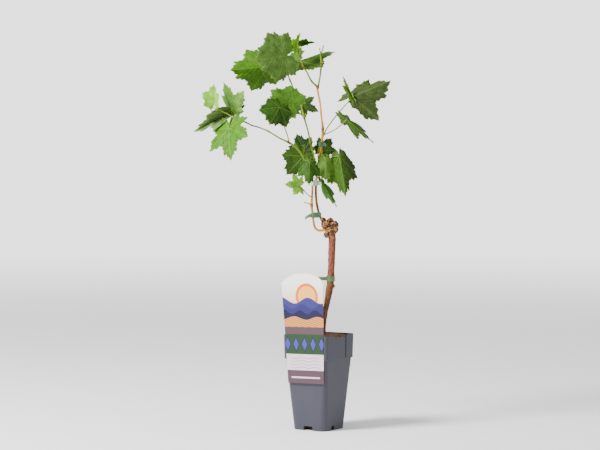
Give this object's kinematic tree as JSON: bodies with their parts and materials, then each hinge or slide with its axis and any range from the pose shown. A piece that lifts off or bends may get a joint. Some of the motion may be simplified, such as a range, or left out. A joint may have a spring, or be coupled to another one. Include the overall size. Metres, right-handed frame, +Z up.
{
  "type": "potted grapevine",
  "caption": "Young potted grapevine with a knobbly trunk, tied canes, green shoots and lobed leaves, in a deep square nursery pot with a picture card.",
  "frame": {"origin": "middle of the pot's flat underside, on the ground", "axes": "+Z up, X and Y square to the sides of the pot, the picture card on the -Y side"},
  "size_m": [0.4286, 0.3566, 0.9914],
  "materials": {
    "pot": "satin moulded polypropylene",
    "compost": "loose coir and bark",
    "card": "printed semi-gloss card",
    "bark": "rough stringy bark",
    "cane": "smooth ripened cane",
    "shoot": "green herbaceous shoot",
    "leaf": "satin leaf blade",
    "leaf_light": "young satin leaf blade",
    "tape": "soft tie tape",
    "tape_dark": "soft tie tape",
    "tape_pale": "soft tie tape"
  },
  "bodies": {
    "root": {"pot": "pot", "compost": "compost", "picture_card": "card", "trunk": "bark", "left_cane": "cane", "main_cane": "cane", "side_strand": "shoot", "middle_shoot": "shoot", "left_shoot": "shoot", "top_left_shoot": "shoot", "top_right_shoot": "shoot", "far_left_leaves": "leaf_light", "top_left_leaves": "leaf", "top_leaves": "leaf", "centre_leaves": "leaf", "centre_left_leaf": "leaf", "right_leaves": "leaf", "low_left_leaves": "leaf", "low_right_leaves": "leaf", "hanging_leaf": "leaf", "young_leaf": "leaf_light", "tie_trunk": "tape", "tie_low": "tape_dark", "tie_middle": "tape_pale", "tie_top": "tape_dark"}
  },
  "joints": []
}
